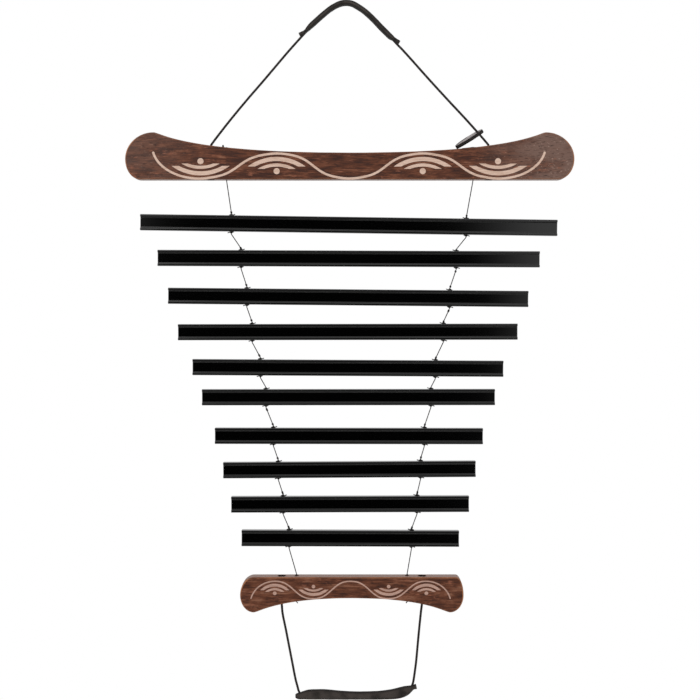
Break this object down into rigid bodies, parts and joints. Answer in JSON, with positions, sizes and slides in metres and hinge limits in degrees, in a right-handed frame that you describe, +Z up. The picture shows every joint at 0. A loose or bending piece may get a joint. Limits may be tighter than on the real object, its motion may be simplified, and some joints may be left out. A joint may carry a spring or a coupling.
{
  "type": "meditation chime",
  "caption": "Hanging chime of grooved metal bars, long to short, strung on two strings like a ladder between waisted wooden boards, with a soft grip above and below.",
  "frame": {"origin": "under the middle of the upper grip, where a hook or peg carries the chime", "axes": "+Z up along the hanging chime, +X to the right along the bars, +Y to the back; the front faces -Y"},
  "size_m": [0.6, 0.02, 0.9452],
  "materials": {
    "bar": "black, glossy, drawn section",
    "wood": "dark reddish brown stain, worn lighter along the edges, satin",
    "grip": "folded woven strip, dark brown black, matt",
    "cord": "round braided cord, dark brown black",
    "string": "thin braided string, dark grey with a pale sheen",
    "elastic": "flat ribbed elastic braid, near black with a pale worn inner face"
  },
  "bodies": {
    "hanger": {"top_grip": "grip", "hanging_cord_left": "cord", "hanging_cord_right": "cord"},
    "beater_band": {"beater_band": "elastic"},
    "top_board": {"top_board": "wood", "hanging_knot_left": "cord", "hanging_knot_right": "cord", "anchor_string_left": "string", "anchor_string_right": "string"},
    "bar_01": {"bar_01": "bar", "string_01_left": "string", "string_01_right": "string"},
    "bar_02": {"bar_02": "bar", "string_02_left": "string", "string_02_right": "string"},
    "bar_03": {"bar_03": "bar", "string_03_left": "string", "string_03_right": "string"},
    "bar_04": {"bar_04": "bar", "string_04_left": "string", "string_04_right": "string"},
    "bar_05": {"bar_05": "bar", "string_05_left": "string", "string_05_right": "string"},
    "bar_06": {"bar_06": "bar", "string_06_left": "string", "string_06_right": "string"},
    "bar_07": {"bar_07": "bar", "string_07_left": "string", "string_07_right": "string"},
    "bar_08": {"bar_08": "bar", "string_08_left": "string", "string_08_right": "string"},
    "bar_09": {"bar_09": "bar", "string_09_left": "string", "string_09_right": "string"},
    "bar_10": {"bar_10": "bar", "string_10_left": "string", "string_10_right": "string"},
    "bottom_board": {"bottom_board": "wood", "string_11_left": "string", "string_11_right": "string", "lower_knot_left": "cord", "lower_knot_right": "cord"},
    "lower_handle": {"lower_cord_left": "cord", "lower_cord_right": "cord", "bottom_grip": "grip"}
  },
  "joints": [
    {"name": "band_turn", "type": "hinge", "parent": "hanger", "child": "beater_band", "pos_m": [0.1726, 0, -0.16969], "axis": [0.6684, 0, -0.7438], "range_deg": [-40, 40]},
    {"name": "top_board_swing", "type": "hinge", "parent": "hanger", "child": "top_board", "pos_m": [0, 0, -0.1851], "axis": [1, 0, 0], "range_deg": [-15, 15]},
    {"name": "bar_01_swing", "type": "hinge", "parent": "top_board", "child": "bar_01", "pos_m": [0, 0, -0.23245], "axis": [1, 0, 0], "range_deg": [-20, 20]},
    {"name": "bar_02_swing", "type": "hinge", "parent": "bar_01", "child": "bar_02", "pos_m": [-0.00149, 0, -0.3064], "axis": [0.9999, 0, -0.0138], "range_deg": [-20, 20]},
    {"name": "bar_03_swing", "type": "hinge", "parent": "bar_02", "child": "bar_03", "pos_m": [-0.00155, 0, -0.3514], "axis": [1, 0, -0.0038], "range_deg": [-20, 20]},
    {"name": "bar_04_swing", "type": "hinge", "parent": "bar_03", "child": "bar_04", "pos_m": [-0.00223, 0, -0.4034], "axis": [1, 0, -0.0091], "range_deg": [-20, 20]},
    {"name": "bar_05_swing", "type": "hinge", "parent": "bar_04", "child": "bar_05", "pos_m": [-0.00268, 0, -0.4499], "axis": [1, 0, 0.0017], "range_deg": [-20, 20]},
    {"name": "bar_06_swing", "type": "hinge", "parent": "bar_05", "child": "bar_06", "pos_m": [-0.00258, 0, -0.4984], "axis": [1, 0, -0.0054], "range_deg": [-20, 20]},
    {"name": "bar_07_swing", "type": "hinge", "parent": "bar_06", "child": "bar_07", "pos_m": [-0.00179, 0, -0.5379], "axis": [1, 0, 0.0009], "range_deg": [-20, 20]},
    {"name": "bar_08_swing", "type": "hinge", "parent": "bar_07", "child": "bar_08", "pos_m": [-0.00122, 0, -0.5904], "axis": [1, 0, -0.0014], "range_deg": [-20, 20]},
    {"name": "bar_09_swing", "type": "hinge", "parent": "bar_08", "child": "bar_09", "pos_m": [-0.00042, 0, -0.6359], "axis": [1, 0, 0.0058], "range_deg": [-20, 20]},
    {"name": "bar_10_swing", "type": "hinge", "parent": "bar_09", "child": "bar_10", "pos_m": [0.00044, 0, -0.6829], "axis": [1, 0, 0.003], "range_deg": [-20, 20]},
    {"name": "bottom_board_swing", "type": "hinge", "parent": "bar_10", "child": "bottom_board", "pos_m": [0.00066, 0, -0.7294], "axis": [1, 0, -0.0031], "range_deg": [-20, 20]},
    {"name": "lower_handle_swing", "type": "hinge", "parent": "bottom_board", "child": "lower_handle", "pos_m": [0.0028, 0, -0.80566], "axis": [1, 0, 0], "range_deg": [-60, 60]}
  ]
}
